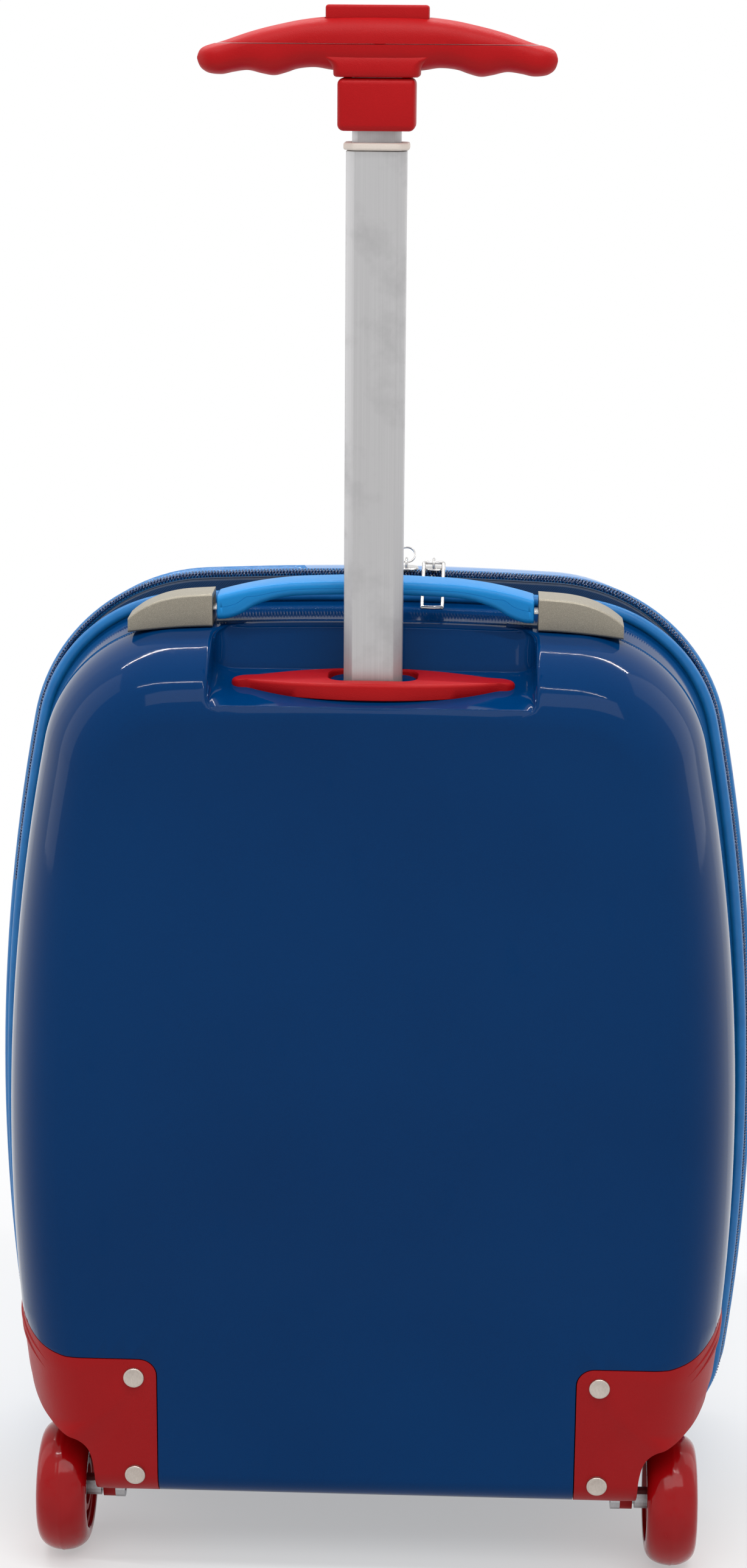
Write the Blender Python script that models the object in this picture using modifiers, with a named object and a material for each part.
"""A child's hard-shell rolling suitcase with a two-stage pull pole, modelled as separate pieces.

Run it with blender --background --python part.py, or from Blender's text editor.
Lengths are in metres. +Z is up, the pull pole and the wheels are at the rear (-Y), the lid at
the front (+Y), and the floor is z = 0. Depths named here are counted from the pole's axis.
"""

import math

import bmesh
import bpy
from mathutils import Matrix, Vector

MM = 0.001

# Clearances
GAP = 0.3 * MM
BORE_PLAY = 0.1 * MM
SLIDE_PLAY = 0.4 * MM

# Case outline, seen from behind, measured along the middle of the welt
HALF_WIDTH = 174.5 * MM
WIDEST_Z = 195.0 * MM
TOP_Z = 452.0 * MM
BOTTOM_Z = 33.0 * MM
SIDE_RADIUS = 1000.0 * MM
TOP_RADIUS = 1600.0 * MM
CORNER_RADIUS = 70.0 * MM
FLOOR_CORNER_RADIUS = 46.0 * MM
# The lid is a little wider and stands higher than the rear shell
LID_OVERHANG = 4.0 * MM
LID_RISE = 5.8 * MM
LID_HALF_WIDTH = HALF_WIDTH + LID_OVERHANG
LID_TOP_Z = TOP_Z + LID_RISE
LID_CORNER_RADIUS = 84.0 * MM
# The zip's tapes lie on an outline of their own, between the two
SEAM_OVERHANG = 1.2 * MM
SEAM_RISE = 6.9 * MM
SEAM_HALF_WIDTH = HALF_WIDTH + SEAM_OVERHANG
SEAM_TOP_Z = TOP_Z + SEAM_RISE
SEAM_BOTTOM_Z = BOTTOM_Z - SEAM_OVERHANG
SEAM_CORNER_RADIUS = 80.0 * MM

# Depths from the pole's axis
BACK_Y = -27.0 * MM
REAR_RIM_Y = 58.0 * MM
CREASE_Y = 30.0 * MM
SEAM_Y = 70.0 * MM
LID_RIM_Y = 82.0 * MM
FRONT_Y = 173.0 * MM
FLOOR_CREASE_Y = -2.0 * MM

# Shells
SHELL_WALL = 2.0 * MM
SHELL_INSET = 2.0 * MM
DRAFT = 3.0 * MM
FLOOR_DRAFT = 1.5 * MM
ROUND_INSET = 34.0 * MM
FLOOR_ROUND_INSET = 20.0 * MM
LID_ROUND_DEPTH = 50.0 * MM
LID_FLOOR_ROUND_DEPTH = 26.0 * MM

# Welt, zip and hinge gusset
WELT_RADIUS = 3.0 * MM
TAPE_THICKNESS = 1.0 * MM
SEAM_SPLIT = 1.2 * MM
COIL_RADIUS = 1.5 * MM
GUSSET_LOW_Z = 110.0 * MM
GUSSET_HIGH_Z = 310.0 * MM
LID_AXIS_X = -184.0 * MM
SLIDER_LENGTH = 11.0 * MM
SLIDER_WIDTH = 9.0 * MM
SLIDER_UNDER_WIDTH = 5.8 * MM
SLIDER_PLATE = 1.1 * MM
SLIDER_X = (12.4 * MM, 25.0 * MM)
PULL_REACH = 36.5 * MM
PULL_DROP = 13.6 * MM
PULL_BEND = 0.14
PULL_WIDTH = 9.0 * MM
PULL_WIRE = 0.9 * MM
RING_RADIUS = 3.9 * MM
RING_WIRE = 0.7 * MM
RING_SLOPE = 50.0

# Recess round the pole, and the bezel in it
RECESS_HALF_WIDTH = 71.0 * MM
RECESS_FLOOR_Z = TOP_Z - 31.2 * MM
RECESS_BACK_Y = 21.5 * MM
RECESS_ROUNDING = 7.0 * MM
BEZEL_HALF_LENGTH = 61.5 * MM
BEZEL_HALF_DEPTH = 19.5 * MM
BEZEL_BACK_DEPTH = 15.3 * MM
BEZEL_HEIGHT = 7.4 * MM
BEZEL_TIP_HEIGHT = 2.8 * MM
BEZEL_HOLE_LENGTH = 39.0 * MM
BEZEL_HOLE_DEPTH = 22.4 * MM

# T grip, with its heights counted down from the button's top
BUTTON_TOP_Z = 713.4 * MM
BUTTON_RISE = 4.4 * MM
GRIP_TOP_Z = BUTTON_TOP_Z - BUTTON_RISE
GRIP_SEAM_Z = GRIP_TOP_Z - 11.4 * MM
NECK_TOP_Z = GRIP_TOP_Z - 25.0 * MM
NECK_BOTTOM_Z = NECK_TOP_Z - 21.5 * MM
NECK_WIDTH = 32.5 * MM
NECK_DEPTH = 26.0 * MM
BOSS_WIDTH = 36.4 * MM
BOSS_DEPTH = 26.6 * MM
GRIP_HALF_LENGTH = 75.0 * MM
GRIP_HALF_DEPTH = 13.0 * MM
# Half-distance from the middle, and how far the bar's underside and top are below its crown
GRIP_STATIONS = (
    (0.0, 22.4, 0.0),
    (12.0, 22.4, 0.1),
    (19.0, 22.0, 0.4),
    (26.0, 21.0, 1.0),
    (33.0, 21.6, 2.0),
    (38.0, 23.2, 3.0),
    (43.0, 24.4, 4.1),
    (48.0, 23.7, 5.3),
    (54.0, 22.4, 7.0),
    (60.0, 23.1, 9.0),
    (65.0, 24.1, 10.7),
    (70.0, 23.7, 12.0),
    (73.2, 22.2, 13.1),
    (74.7, 20.0, 15.0),
)
BUTTON_LENGTH = 43.0 * MM
BUTTON_DEPTH = 13.0 * MM
BUTTON_HEIGHT = 11.0 * MM
BUTTON_TRAVEL = 4.0 * MM
PIN_TRAVEL = BUTTON_TRAVEL / 2
SPRING_RADIUS = 3.4 * MM
SPRING_WIRE = 0.35 * MM
SPRING_TURNS = 4

# Pull pole
TUBE_WALL = 1.2 * MM
MIDDLE_WALL = 1.8 * MM
MIDDLE_WIDTH = 25.6 * MM
MIDDLE_DEPTH = 19.0 * MM
MIDDLE_CHAMFER = 4.0 * MM
INNER_WIDTH = 20.6 * MM
INNER_DEPTH = 14.0 * MM
INNER_CHAMFER = 2.7 * MM
MIDDLE_TOP_Z = NECK_BOTTOM_Z - 8.2 * MM
MIDDLE_BOTTOM_Z = 290.0 * MM
HOUSING_TOP_Z = RECESS_FLOOR_Z - 4.8 * MM
HOUSING_BOTTOM_Z = 62.0 * MM
INNER_BOTTOM_Z = 306.0 * MM
COLLAR_HEIGHT = 3.4 * MM
COLLAR_OVERHANG = 1.1 * MM
BLOCK_HEIGHT = 14.0 * MM
PIN_RADIUS = 2.5 * MM
PIN_LENGTH = 6.0 * MM
PIN_END_ROOM = 0.8 * MM
ROD_RADIUS = 2.0 * MM
COVER_WALL = 1.6 * MM
COVER_MARGIN = 2.5 * MM
COVER_FLANGE = 9.0 * MM
BRACKET_HEIGHT = 12.0 * MM
BRACKET_SIDE = 9.0 * MM
BRACKET_FLOOR = 3.0 * MM
COVER_TOP_ROOM = 12.0 * MM

# Carry handle and its end caps
HANDLE_BACK_Y = 18.0 * MM
HANDLE_DEPTH = 19.0 * MM
CAP_INNER_X = 72.6 * MM
CAP_OUTER_X = 110.5 * MM
CAP_BASE_Z = TOP_Z - 6.8 * MM
CAP_TOP_Z = TOP_Z + 8.0 * MM
# Half-distance from the middle, and how far the grip's underside and top are above the case
HANDLE_STATIONS = (
    (0.0, 8.3, 14.8),
    (16.0, 8.2, 14.6),
    (34.0, 7.5, 13.8),
    (44.0, 6.0, 12.8),
    (53.0, 2.9, 11.4),
    (60.0, -1.2, 9.9),
    (66.0, -3.3, 8.4),
    (70.2, -3.6, 7.2),
)
BAND_THICKNESS = 1.4 * MM
BAND_DEPTH = 9.0 * MM
BAND_HALF_LENGTH = 88.0 * MM
BAND_INNER_X = 58.6 * MM
BAND_BORE_X = (58.0 * MM, 80.0 * MM)
BAND_Z = TOP_Z + 0.6 * MM
HANDLE_LIFT = 3.5 * MM

# Wheels and their housings
WHEEL_RADIUS = 31.0 * MM
WHEEL_WIDTH = 23.6 * MM
WHEEL_SETBACK = 31.2 * MM
WHEEL_X = HALF_WIDTH - WHEEL_SETBACK
HUB_RADIUS = 20.0 * MM
HUB_WIDTH = 20.0 * MM
BEARING_RADIUS = 9.5 * MM
BEARING_WIDTH = 16.0 * MM
AXLE_RADIUS = 3.0 * MM
SPACER_RADIUS = 5.0 * MM
AXLE_HEAD_RADIUS = 6.0 * MM
AXLE_HEAD_LENGTH = 3.4 * MM
NUT_RADIUS = 5.6 * MM
NUT_LENGTH = 4.4 * MM
PLATE_EDGE_X = WHEEL_X - 46.3 * MM
PLATE_TOP_Z = 109.4 * MM
PLATE_THICKNESS = 3.0 * MM
LEG_INNER_X = WHEEL_X - 28.3 * MM
LEG_OUTER_X = WHEEL_X - 17.3 * MM
LUG_RADIUS = 9.0 * MM
WELL_FRONT_Y = 42.0 * MM
# Underside of the fender, from the leg out to the side: distance from the wheel's middle, height
FENDER_EDGE = (
    (-17.3, 20.0),
    (-16.9, 52.0),
    (-15.3, 61.0),
    (-12.3, 65.6),
    (-4.8, 69.4),
    (3.2, 72.0),
    (9.7, 75.6),
    (14.7, 81.5),
    (17.1, 88.0),
    (46.7, 91.0),
)
FENDER_HOLLOW_X = (3.0 * MM, 20.0 * MM)
FENDER_HOLLOW_Z = (80.0 * MM, 103.0 * MM)
FENDER_BACK_WALL = 10.0 * MM
# Top edge of the housing, where it lifts under the shell's side, counted in the same way
HOUSING_SHOULDER = (
    (-2.3, 109.4),
    (8.3, 111.4),
    (16.7, 115.6),
    (23.7, 121.0),
    (46.7, 140.0),
)
RIVET_X = PLATE_EDGE_X + 10.4 * MM
RIVET_ZS = (100.6 * MM, 51.2 * MM)
RIVET_HEAD_RADIUS = 4.8 * MM
RIVET_HEAD_HEIGHT = 1.3 * MM
RIVET_RADIUS = 2.4 * MM
RIVET_TAIL_RADIUS = 3.6 * MM
RIVET_TAIL_HEIGHT = 1.2 * MM
RIVET_SEAT = 0.4 * MM
RIVET_PLAY = 0.15 * MM

# Front feet and lining
FOOT_X = HALF_WIDTH - 64.5 * MM
FOOT_Y = 128.0 * MM
FOOT_RADIUS = 14.0 * MM
LINING_THICKNESS = 0.8 * MM
LINING_RIM_SETBACK = 10.0 * MM
STRAP_Z = 230.0 * MM
STRAP_WIDTH = 30.0 * MM
STRAP_THICKNESS = 1.2 * MM
STRAP_END_X = HALF_WIDTH - 46.5 * MM
STRAP_SLOPE_X = 60.0 * MM
STRAP_SLOPE_RISE = 12.0 * MM

# The wheels reach furthest back and the lid furthest forward, and the origin is midway
POLE_Y = (WHEEL_RADIUS - FRONT_Y) / 2

TOP_STEPS = 3
CORNER_STEPS = 5
SIDE_STEPS = 6
FLOOR_CORNER_STEPS = 4
FLOOR_STEPS = 2
ROUND_STEPS = 5
LID_ROUND_STEPS = 4


# Scene and materials

for old in list(bpy.data.objects):
    bpy.data.objects.remove(old, do_unlink=True)

PARTS = bpy.data.collections.new("kids_suitcase")
CUTTERS = bpy.data.collections.new("cutters")
bpy.context.scene.collection.children.link(PARTS)
bpy.context.scene.collection.children.link(CUTTERS)

CASE_EMPTY = bpy.data.objects.new("case_origin", None)
CASE_EMPTY.location = (0, POLE_Y, 0)
PARTS.objects.link(CASE_EMPTY)


def material(name, color, roughness, metallic=0.0):
    made = bpy.data.materials.new(name)
    made.use_nodes = True
    shader = made.node_tree.nodes["Principled BSDF"]
    shader.inputs["Base Color"].default_value = (*color, 1.0)
    shader.inputs["Roughness"].default_value = roughness
    shader.inputs["Metallic"].default_value = metallic
    return made


SHELL_BLUE = material("shell_blue", (0.008, 0.04, 0.15), 0.12)
LID_BLUE = material("lid_blue", (0.02, 0.21, 0.56), 0.25)
WELT_BLUE = material("welt_blue", (0.01, 0.15, 0.42), 0.3)
TAPE_BLUE = material("tape_blue", (0.006, 0.03, 0.11), 0.8)
GRIP_RED = material("grip_red", (0.42, 0.012, 0.018), 0.45)
WHEEL_RED = material("wheel_red", (0.3, 0.005, 0.008), 0.15)
HANDLE_BLUE = material("handle_blue", (0.018, 0.19, 0.6), 0.5)
CAP_PEWTER = material("cap_pewter", (0.42, 0.39, 0.31), 0.4, 0.7)
POLE_METAL = material("pole_metal", (0.55, 0.55, 0.57), 0.35, 0.9)
BRIGHT_METAL = material("bright_metal", (0.62, 0.6, 0.58), 0.25, 1.0)
STEEL = material("steel", (0.45, 0.45, 0.46), 0.4, 1.0)
CREAM = material("cream_plastic", (0.62, 0.55, 0.45), 0.5)
BLACK = material("black_plastic", (0.02, 0.02, 0.022), 0.6)
LINING = material("lining_grey", (0.13, 0.14, 0.16), 0.9)


# Helpers


def add(name, mesh, finish, collection=PARTS):
    obj = bpy.data.objects.new(name, mesh)
    collection.objects.link(obj)
    obj.parent = CASE_EMPTY
    if finish:
        mesh.materials.clear()
        mesh.materials.append(finish)
    return obj


def add_bmesh(name, bm, finish=None, collection=PARTS):
    bmesh.ops.recalc_face_normals(bm, faces=bm.faces)
    mesh = bpy.data.meshes.new(name)
    bm.to_mesh(mesh)
    bm.free()
    return add(name, mesh, finish, collection)


def smooth(obj, angle=35.0):
    obj.data.shade_smooth()
    obj.data.set_sharp_from_angle(angle=math.radians(angle))
    return obj


def as_cutter(obj):
    for collection in list(obj.users_collection):
        collection.objects.unlink(obj)
    CUTTERS.objects.link(obj)
    obj.hide_render = True
    obj.display_type = "WIRE"
    return obj


def boolean(obj, other, operation="DIFFERENCE"):
    modifier = obj.modifiers.new(operation.lower() + "_" + other.name, "BOOLEAN")
    modifier.operation = operation
    modifier.object = other
    modifier.solver = "EXACT"
    return obj


def applied(obj):
    """The object with its modifiers worked into its mesh."""
    bpy.context.view_layer.update()
    graph = bpy.context.evaluated_depsgraph_get()
    mesh = bpy.data.meshes.new_from_object(obj.evaluated_get(graph))
    bm = bmesh.new()
    bm.from_mesh(mesh)
    bmesh.ops.remove_doubles(bm, verts=bm.verts, dist=1e-6)
    bm.to_mesh(mesh)
    bm.free()
    if obj.type == "CURVE":
        made = bpy.data.objects.new(obj.name, mesh)
        PARTS.objects.link(made)
        made.parent = obj.parent
        made.location = obj.location
        name = obj.name
        bpy.data.objects.remove(obj)
        made.name = name
        return made
    obj.modifiers.clear()
    obj.data = mesh
    return obj


def with_origin(obj, point):
    """Moves the object's origin to a point of its joint's axis, and leaves its shape in place."""
    obj.data.transform(Matrix.Translation(-Vector(point)))
    obj.location = point
    return obj


def box(name, low, high, finish=None, bevel=0.0, segments=3, collection=PARTS):
    bm = bmesh.new()
    bmesh.ops.create_cube(bm, size=1.0)
    size = Vector(high) - Vector(low)
    bmesh.ops.scale(bm, vec=size, verts=bm.verts)
    bmesh.ops.translate(bm, vec=(Vector(low) + Vector(high)) / 2, verts=bm.verts)
    obj = add_bmesh(name, bm, finish, collection)
    if bevel:
        modifier = obj.modifiers.new("rounded", "BEVEL")
        modifier.width = bevel
        modifier.segments = segments
    return obj


def cylinder(name, start, end, radius, finish=None, sides=24, end_radius=None, collection=PARTS):
    start, end = Vector(start), Vector(end)
    bm = bmesh.new()
    bmesh.ops.create_cone(
        bm,
        cap_ends=True,
        segments=sides,
        radius1=radius,
        radius2=radius if end_radius is None else end_radius,
        depth=(end - start).length,
    )
    turn = Vector((0, 0, 1)).rotation_difference(end - start).to_matrix().to_4x4()
    bm.transform(Matrix.Translation((start + end) / 2) @ turn)
    return smooth(add_bmesh(name, bm, finish, collection))


def prism(name, outline_xz, y_low, y_high, finish=None, collection=PARTS):
    """A flat outline in the X-Z plane, drawn as a filled curve and thickened along Y."""
    curve = bpy.data.curves.new(name, "CURVE")
    curve.dimensions = "2D"
    curve.fill_mode = "BOTH"
    curve.extrude = (y_high - y_low) / 2
    spline = curve.splines.new("POLY")
    spline.points.add(len(outline_xz) - 1)
    for point, (x, z) in zip(spline.points, outline_xz):
        point.co = (x, z, 0, 1)
    spline.use_cyclic_u = True
    drawn = bpy.data.objects.new(name, curve)
    PARTS.objects.link(drawn)
    bpy.context.view_layer.update()
    graph = bpy.context.evaluated_depsgraph_get()
    mesh = bpy.data.meshes.new_from_object(drawn.evaluated_get(graph))
    bpy.data.objects.remove(drawn)
    stand = Matrix.Translation((0, (y_low + y_high) / 2, 0)) @ Matrix.Rotation(math.pi / 2, 4, "X")
    mesh.transform(stand)
    bm = bmesh.new()
    bm.from_mesh(mesh)
    bmesh.ops.remove_doubles(bm, verts=bm.verts, dist=1e-6)
    bpy.data.meshes.remove(mesh)
    return add_bmesh(name, bm, finish, collection)


def loft(name, rings, finish=None, caps=True, collection=PARTS):
    """A skin over closed rings of equal length, with its two ends filled unless caps is off."""
    bm = bmesh.new()
    rows = [[bm.verts.new(point) for point in ring] for ring in rings]
    count = len(rings[0])
    for row, following in zip(rows, rows[1:]):
        for i in range(count):
            j = (i + 1) % count
            bm.faces.new((row[i], row[j], following[j], following[i]))
    if caps:
        bm.faces.new(rows[0])
        bm.faces.new(list(reversed(rows[-1])))
    return add_bmesh(name, bm, finish, collection)


def turned(name, profile, finish, steps=32):
    """A profile of (radius, height) running down its outer side, turned about Z by a Screw."""
    mesh = bpy.data.meshes.new(name)
    edges = [(i, i + 1) for i in range(len(profile) - 1)]
    closed = profile[0][0] > 0
    if closed:
        edges.append((len(profile) - 1, 0))
    mesh.from_pydata([(r, 0, z) for r, z in profile], edges, [])
    obj = add(name, mesh, finish)
    screw = obj.modifiers.new("turn", "SCREW")
    screw.steps = steps
    screw.render_steps = steps
    screw.use_merge_vertices = True
    screw.merge_threshold = 1e-6
    return obj


def tube_along(name, points, radius, finish, cyclic=False, resolution=1):
    curve = bpy.data.curves.new(name, "CURVE")
    curve.dimensions = "3D"
    curve.bevel_depth = radius
    curve.bevel_resolution = resolution
    curve.use_fill_caps = True
    spline = curve.splines.new("POLY")
    spline.points.add(len(points) - 1)
    for point, place in zip(spline.points, points):
        point.co = (*place, 1)
    spline.use_cyclic_u = cyclic
    obj = bpy.data.objects.new(name, curve)
    PARTS.objects.link(obj)
    obj.parent = CASE_EMPTY
    curve.materials.append(finish)
    return obj


# Case outline


def arc_points(center, radius, start, end, steps):
    points = []
    for i in range(steps):
        angle = start + (end - start) * i / steps
        normal = (math.cos(angle), math.sin(angle))
        points.append((center[0] + radius * normal[0], center[1] + radius * normal[1], *normal))
    return points


def outline(half, top, bottom, corner):
    """Points (x, z) with outward normals, from the top middle round by the right side.

    Each side and the top is one arc, and a tangent arc joins them at each corner.
    """
    side_center = (half - SIDE_RADIUS, WIDEST_Z)
    top_center = (0.0, top - TOP_RADIUS)
    across = math.dist(side_center, top_center)
    to_side = SIDE_RADIUS - corner
    to_top = TOP_RADIUS - corner
    along = (to_side**2 - to_top**2 + across**2) / (2 * across)
    off = math.sqrt(to_side**2 - along**2)
    ux = (top_center[0] - side_center[0]) / across
    uz = (top_center[1] - side_center[1]) / across
    corner_center = (side_center[0] + along * ux - off * uz, side_center[1] + along * uz + off * ux)
    foot_z = bottom + FLOOR_CORNER_RADIUS
    foot_reach = SIDE_RADIUS - FLOOR_CORNER_RADIUS
    foot_x = side_center[0] + math.sqrt(foot_reach**2 - (foot_z - WIDEST_Z) ** 2)
    up = math.pi / 2
    top_turn = math.atan2(corner_center[1] - top_center[1], corner_center[0] - top_center[0])
    high_turn = math.atan2(corner_center[1] - side_center[1], corner_center[0] - side_center[0])
    low_turn = math.atan2(foot_z - WIDEST_Z, foot_x - side_center[0])
    right = arc_points(top_center, TOP_RADIUS, up, top_turn, TOP_STEPS)
    right += arc_points(corner_center, corner, top_turn, high_turn, CORNER_STEPS)
    right += arc_points(side_center, SIDE_RADIUS, high_turn, low_turn, SIDE_STEPS)
    right += arc_points((foot_x, foot_z), FLOOR_CORNER_RADIUS, low_turn, -up, FLOOR_CORNER_STEPS)
    right += [(foot_x * (1 - i / FLOOR_STEPS), bottom, 0.0, -1.0) for i in range(FLOOR_STEPS)]
    left = [(-x, z, -nx, nz) for x, z, nx, nz in reversed(right[1:])]
    return right + [(0.0, bottom, 0.0, -1.0)] + left


REAR_OUTLINE = outline(HALF_WIDTH, TOP_Z, BOTTOM_Z, CORNER_RADIUS)
LID_OUTLINE = outline(LID_HALF_WIDTH, LID_TOP_Z, BOTTOM_Z, LID_CORNER_RADIUS)
SEAM_OUTLINE = outline(SEAM_HALF_WIDTH, SEAM_TOP_Z, SEAM_BOTTOM_Z, SEAM_CORNER_RADIUS)


def ring(points, inset, y):
    return [(x - nx * inset, y, z - nz * inset) for x, z, nx, nz in points]


def floor_share(nz):
    """0 on the top and the sides, 1 on the floor, with a smooth change in the lower corners."""
    share = min(1.0, max(0.0, (-nz - 0.15) / 0.75))
    return share * share * (3 - 2 * share)


def mix(a, b, share):
    return a + (b - a) * share


def shell_rings(points, rim_y, crease_y, back_y, floor_crease_y, wall, reach, steps):
    """Rings from the rim back to the flat panel: a drafted band, then an elliptic rounding."""
    rings = [ring(points, SHELL_INSET + wall, rim_y + reach)]
    if reach:
        rings.append(ring(points, SHELL_INSET + wall, rim_y))
    toward = 1 if back_y > rim_y else -1
    for step in range(steps + 1):
        angle = math.pi / 2 * step / steps
        row = []
        for x, z, nx, nz in points:
            share = floor_share(nz)
            start_y = mix(crease_y, floor_crease_y, share)
            deep = abs(back_y - start_y) - wall
            rounding = mix(ROUND_INSET, FLOOR_ROUND_INSET, share) - wall
            inset = SHELL_INSET + wall + mix(DRAFT, FLOOR_DRAFT, share)
            inset += rounding * (1 - math.cos(angle))
            y = start_y + toward * deep * math.sin(angle)
            row.append((x - nx * inset, y, z - nz * inset))
        rings.append(row)
    return rings


def rear_rings(wall=0.0, reach=0.0):
    depths = (REAR_RIM_Y, CREASE_Y, BACK_Y, FLOOR_CREASE_Y)
    return shell_rings(REAR_OUTLINE, *depths, wall, reach, ROUND_STEPS)


def lid_rings(wall=0.0, reach=0.0):
    crease = FRONT_Y - LID_ROUND_DEPTH
    floor_crease = FRONT_Y - LID_FLOOR_ROUND_DEPTH
    depths = (LID_RIM_Y, crease, FRONT_Y, floor_crease)
    return shell_rings(LID_OUTLINE, *depths, wall, -reach, LID_ROUND_STEPS)


# Rear shell, with its recess and its wheel pockets


def recess_box(name, grow):
    low = (-RECESS_HALF_WIDTH - grow, BACK_Y - 30 * MM, RECESS_FLOOR_Z - grow)
    high = (RECESS_HALF_WIDTH + grow, RECESS_BACK_Y + grow, TOP_Z + 40 * MM)
    return as_cutter(box(name, low, high, bevel=RECESS_ROUNDING + grow, segments=3))


def housing_outline(side, grow):
    """The housing's edge as seen from behind. A positive grow makes it larger on every side."""
    edge = PLATE_EDGE_X - grow
    top = PLATE_TOP_Z + grow
    bend = 8.0 * MM + grow
    points = [(edge, -20 * MM)]
    for i in range(5):
        angle = math.pi - math.pi / 2 * i / 4
        points.append((edge + bend + bend * math.cos(angle), top - bend + bend * math.sin(angle)))
    points += [(WHEEL_X + x * MM, z * MM + grow) for x, z in HOUSING_SHOULDER]
    points.append((points[-1][0], -20 * MM))
    return [(side * x, z) for x, z in points]


def back_surface(z):
    """Depth of the back face at a height near the floor, and how far it leans there."""
    rise = z - (BOTTOM_Z + SHELL_INSET + FLOOR_DRAFT)
    if rise >= FLOOR_ROUND_INSET:
        return BACK_Y, 0.0
    deep = FLOOR_CREASE_Y - BACK_Y
    c = 1 - rise / FLOOR_ROUND_INSET
    s = math.sqrt(1 - c * c)
    return FLOOR_CREASE_Y - deep * s, math.atan2(deep * c, FLOOR_ROUND_INSET * s)


def rivet_line(side, z, start, end):
    """Two points on a rivet's axis, at depths counted inward from the housing's face."""
    y, lean = back_surface(z)
    inward = Vector((0, math.cos(lean), math.sin(lean)))
    seat = Vector((side * RIVET_X, y, z))
    return seat + inward * start, seat + inward * end


def rivet_cuts(obj, side, word, radius, start, end):
    for index, z in enumerate(RIVET_ZS):
        name = f"{obj.name}_rivet_{word}_{index}_{round(start / MM)}"
        drill(obj, name, *rivet_line(side, z, start, end), radius, 12)


def core(name, side, wall, inner_x):
    """What lies inside the shell's surface by a wall's thickness, as far out as the wheel's leg."""
    made = loft(name, rear_rings(wall))
    ends = (-side * 0.05, side * inner_x)
    limit = box(name + "_limit", (min(ends), -0.2, -0.1), (max(ends), 0.2, 0.6))
    return as_cutter(applied(boolean(made, as_cutter(limit), "INTERSECT")))


def wheel_pocket(name, side, grow):
    """The space cut from the shell for one housing: shallow under its plate, deep at the wheel."""
    pocket = prism(name, housing_outline(side, grow), BACK_Y - 30 * MM, WELL_FRONT_Y + grow)
    boolean(pocket, core(name + "_core", side, PLATE_THICKNESS + grow, LEG_INNER_X - grow))
    return as_cutter(applied(pocket))


def rear_shell():
    shell = loft("rear_shell", rear_rings(), SHELL_BLUE)
    cavity = loft("rear_cavity", rear_rings(SHELL_WALL, reach=6 * MM))
    boolean(cavity, recess_box("recess_backing", SHELL_WALL))
    for side, word in ((-1, "left"), (1, "right")):
        boolean(cavity, wheel_pocket("pocket_backing_" + word, side, SHELL_WALL + GAP))
    boolean(shell, as_cutter(applied(cavity)))
    boolean(shell, recess_box("recess_cutter", 0.0))
    for side, word in ((-1, "left"), (1, "right")):
        boolean(shell, wheel_pocket("pocket_cutter_" + word, side, GAP))
        rivet_cuts(shell, side, word, RIVET_RADIUS + GAP, -10 * MM, 14 * MM)
        tail_seat = PLATE_THICKNESS + GAP + SHELL_WALL - RIVET_SEAT
        rivet_cuts(shell, side, word, RIVET_TAIL_RADIUS + GAP, tail_seat, 14 * MM)
    pole_hole = octagon_prism(
        "pole_hole",
        MIDDLE_WIDTH + 2 * GAP + 2 * MM,
        MIDDLE_DEPTH + 2 * GAP + 2 * MM,
        MIDDLE_CHAMFER,
        RECESS_FLOOR_Z - 10 * MM,
        RECESS_FLOOR_Z + 10 * MM,
    )
    boolean(shell, as_cutter(pole_hole))
    return smooth(applied(shell))


# Octagonal pole sections


def octagon(width, depth, chamfer, z):
    a, b = width / 2, depth / 2
    corners = (
        (a - chamfer, -b),
        (a, -b + chamfer),
        (a, b - chamfer),
        (a - chamfer, b),
        (-a + chamfer, b),
        (-a, b - chamfer),
        (-a, -b + chamfer),
        (-a + chamfer, -b),
    )
    return [(x, y, z) for x, y in corners]


def octagon_prism(name, width, depth, chamfer, low, high, finish=None, collection=PARTS):
    rings = [octagon(width, depth, chamfer, low), octagon(width, depth, chamfer, high)]
    return loft(name, rings, finish, collection=collection)


def octagon_tube(name, width, depth, chamfer, wall, low, high, finish):
    """An octagonal tube whose wall is the same on the flats and on the chamfers."""
    inner_chamfer = chamfer - wall * (2 - math.sqrt(2))
    tube = octagon_prism(name, width, depth, chamfer, low, high, finish)
    bore = octagon_prism(
        name + "_bore", width - 2 * wall, depth - 2 * wall, inner_chamfer, low - 1 * MM, high + 1 * MM
    )
    return applied(boolean(tube, as_cutter(bore)))


INNER_SIZE = (INNER_WIDTH, INNER_DEPTH, INNER_CHAMFER)
HOUSING_GROW = 2 * (TUBE_WALL + SLIDE_PLAY)
HOUSING_SIZE = (
    MIDDLE_WIDTH + HOUSING_GROW,
    MIDDLE_DEPTH + HOUSING_GROW,
    MIDDLE_CHAMFER + HOUSING_GROW / 2 * (2 - math.sqrt(2)),
)


def drill(obj, name, start, end, radius, sides=16):
    return boolean(obj, as_cutter(cylinder(name, start, end, radius, sides=sides)))


def guide_block(name, width, depth, chamfer, wall, bottom, finish, pin_side):
    """The plastic plug in a tube's foot: it carries the lock pin and lets the push rod through."""
    clear = 2 * (wall + GAP)
    block = octagon_prism(
        name,
        width - clear,
        depth - clear,
        chamfer - clear / 2 * (2 - math.sqrt(2)),
        bottom,
        bottom + BLOCK_HEIGHT,
        finish,
    )
    middle = bottom + BLOCK_HEIGHT / 2
    drill(block, name + "_rod_bore", (0, 0, middle), (0, 0, middle + BLOCK_HEIGHT), ROD_RADIUS + GAP)
    bore_end = depth / 2 - PIN_LENGTH - PIN_TRAVEL - PIN_END_ROOM
    bore = ((0, pin_side * bore_end, middle), (0, pin_side * depth, middle))
    drill(block, name + "_pin_bore", *bore, PIN_RADIUS + GAP)
    return applied(block)


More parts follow.
